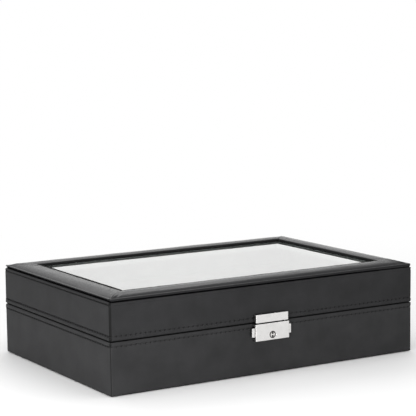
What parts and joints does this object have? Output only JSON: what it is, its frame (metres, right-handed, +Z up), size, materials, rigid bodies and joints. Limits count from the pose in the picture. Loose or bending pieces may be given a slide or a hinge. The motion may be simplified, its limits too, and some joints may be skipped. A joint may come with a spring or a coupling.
{
  "type": "cufflink box",
  "caption": "Low rectangular leather-covered cufflink box with a hinged glazed lid, padded top border, push-button lock with key and a grid of cushioned cells.",
  "frame": {"origin": "centre of the underside of the box's walls, on the surface it stands on", "axes": "+X to the right along the front, +Y to the back, +Z up"},
  "size_m": [0.3, 0.209, 0.08],
  "materials": {
    "black_leather": "semi-gloss, fine pebble grain",
    "black_felt": "short dull pile",
    "fibreboard": "smooth pressed board",
    "velvet_board": "board wrapped in pale grey velvet",
    "velvet": "pale grey velvet",
    "velvet_cushion": "pale grey velvet over foam",
    "clear_glass": "polished",
    "satin_nickel": "fine satin",
    "key_nickel": "bright, lightly worn",
    "nickel_plate": "bright plate",
    "hinge_nickel": "plated",
    "screw_steel": "plated"
  },
  "bodies": {
    "base": {"base_floor_board": "fibreboard", "base_front_board": "fibreboard", "base_leather_wrap": "black_leather", "base_left_board": "fibreboard", "base_lining": "velvet", "base_rear_board": "fibreboard", "base_right_board": "fibreboard", "bottom_felt": "black_felt", "cross_divider_1": "velvet_board", "cross_divider_2": "velvet_board", "cross_divider_3": "velvet_board", "cross_divider_4": "velvet_board", "cross_divider_5": "velvet_board", "cushion_row_1": "velvet_cushion", "cushion_row_2": "velvet_cushion", "cushion_row_3": "velvet_cushion", "cushion_row_4": "velvet_cushion", "floor_lining": "velvet", "hinge_base_leaf_left": "hinge_nickel", "hinge_base_leaf_right": "hinge_nickel", "hinge_pin_left": "screw_steel", "hinge_pin_right": "screw_steel", "left_button_spring": "screw_steel", "lock_back_plate": "nickel_plate", "lock_barrel": "nickel_plate", "lock_case": "satin_nickel", "long_divider_1": "velvet_board", "long_divider_2": "velvet_board", "long_divider_3": "velvet_board", "right_button_spring": "screw_steel"},
    "lid": {"glass_pane": "clear_glass", "glass_retainer": "velvet", "hasp_cover": "satin_nickel", "hinge_lid_leaf_left": "hinge_nickel", "hinge_lid_leaf_right": "hinge_nickel", "lid_front_board": "fibreboard", "lid_leather_wrap": "black_leather", "lid_left_board": "fibreboard", "lid_lining": "velvet", "lid_rear_board": "fibreboard", "lid_right_board": "fibreboard", "padded_frame": "black_leather", "strike_plate": "nickel_plate", "top_frame_front": "fibreboard", "top_frame_left": "fibreboard", "top_frame_rear": "fibreboard", "top_frame_right": "fibreboard"},
    "left_button": {"left_button": "satin_nickel"},
    "right_button": {"right_button": "satin_nickel"},
    "plug": {"lock_plug": "nickel_plate", "lock_cam": "nickel_plate", "cam_screw": "screw_steel"},
    "key": {"key": "key_nickel"}
  },
  "joints": [
    {"name": "lid_hinge", "type": "hinge", "parent": "base", "child": "lid", "pos_m": [0, 0.1023, 0.04435], "axis": [-1, 0, 0], "range_deg": [0, 95]},
    {"name": "left_button_push", "type": "slide", "parent": "base", "child": "left_button", "axis": [1, 0, 0], "range_m": [0, 0.002], "stiffness_N_per_m": 300, "springref_m": -0.002, "deforming": ["left_button_spring"]},
    {"name": "right_button_push", "type": "slide", "parent": "base", "child": "right_button", "axis": [-1, 0, 0], "range_m": [0, 0.002], "stiffness_N_per_m": 300, "springref_m": -0.002, "deforming": ["right_button_spring"]},
    {"name": "plug_turn", "type": "hinge", "parent": "base", "child": "plug", "pos_m": [0, -0.1, 0.0337], "axis": [0, 1, 0], "range_deg": [0, 90]},
    {"name": "key_lift", "type": "slide", "parent": "base", "child": "key", "axis": [0, 0, 1], "range_m": [0, 0.045]}
  ]
}
